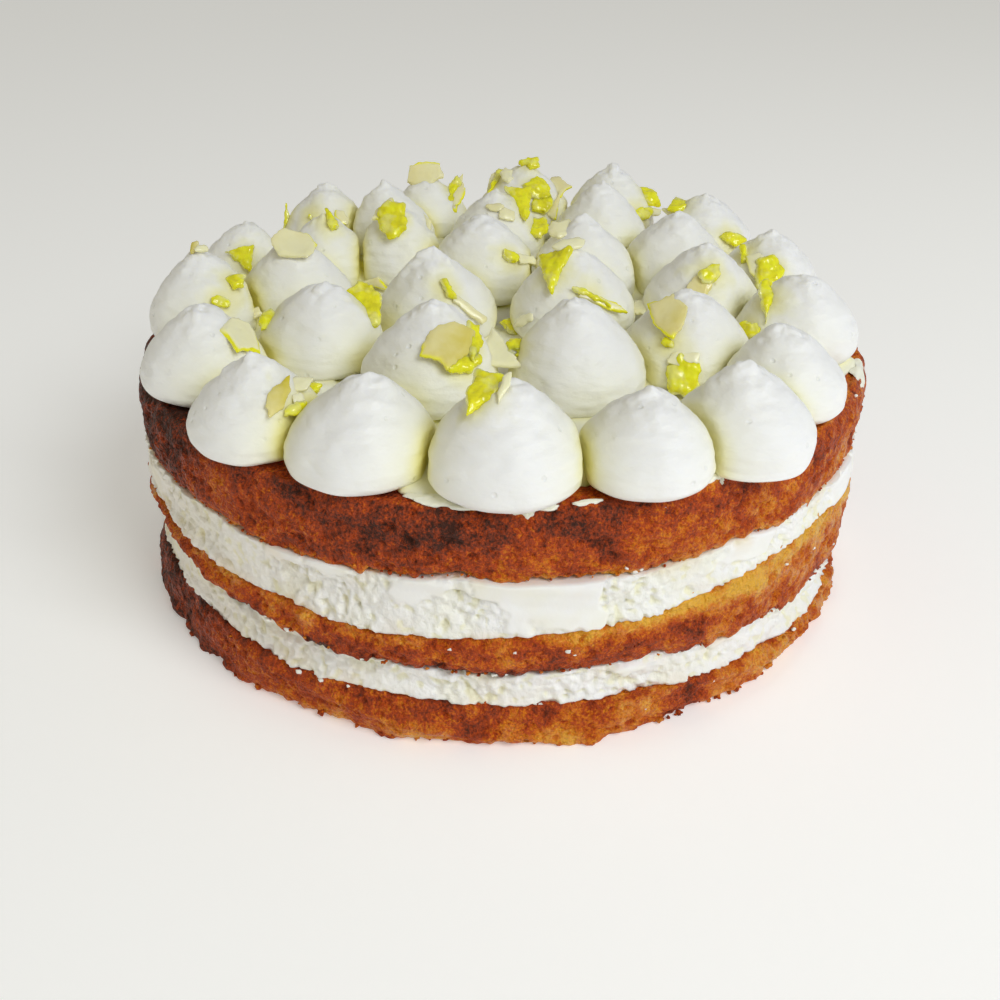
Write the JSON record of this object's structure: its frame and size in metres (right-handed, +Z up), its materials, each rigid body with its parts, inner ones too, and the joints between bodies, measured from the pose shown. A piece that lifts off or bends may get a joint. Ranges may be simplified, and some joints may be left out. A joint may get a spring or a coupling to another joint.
{
  "type": "lemon parfait cake",
  "caption": "Round layer cake of golden sponge and lemon cream, topped with piped cream kisses and pieces of candied lemon peel.",
  "frame": {"origin": "middle of the flat underside, on the cake's upright axis", "axes": "+Z up, -Y towards the side that the picture shows"},
  "size_m": [0.2017, 0.2024, 0.0913],
  "materials": {
    "sponge": "browned sponge crust, matt and crumbly",
    "filling_cream": "ivory lemon cream, scraped and partly porous",
    "piped_cream": "smooth whipped cream, satin"
  },
  "bodies": {
    "root": {"sponge_bottom": "sponge", "cream_lower": "filling_cream", "sponge_middle": "sponge", "cream_upper": "filling_cream", "sponge_top": "sponge", "kiss_01": "piped_cream", "kiss_02": "piped_cream", "kiss_03": "piped_cream", "kiss_04": "piped_cream", "kiss_05": "piped_cream", "kiss_06": "piped_cream", "kiss_07": "piped_cream", "kiss_08": "piped_cream", "kiss_09": "piped_cream", "kiss_10": "piped_cream", "kiss_11": "piped_cream", "kiss_12": "piped_cream", "kiss_13": "piped_cream", "kiss_14": "piped_cream", "kiss_15": "piped_cream", "kiss_16": "piped_cream", "kiss_17": "piped_cream", "kiss_18": "piped_cream", "kiss_19": "piped_cream", "kiss_20": "piped_cream", "kiss_21": "piped_cream", "kiss_22": "piped_cream", "kiss_23": "piped_cream", "kiss_24": "piped_cream", "kiss_25": "piped_cream", "kiss_26": "piped_cream", "kiss_27": "piped_cream", "kiss_28": "piped_cream", "kiss_29": "piped_cream", "kiss_30": "piped_cream", "kiss_31": "piped_cream", "kiss_32": "piped_cream"}
  },
  "joints": []
}
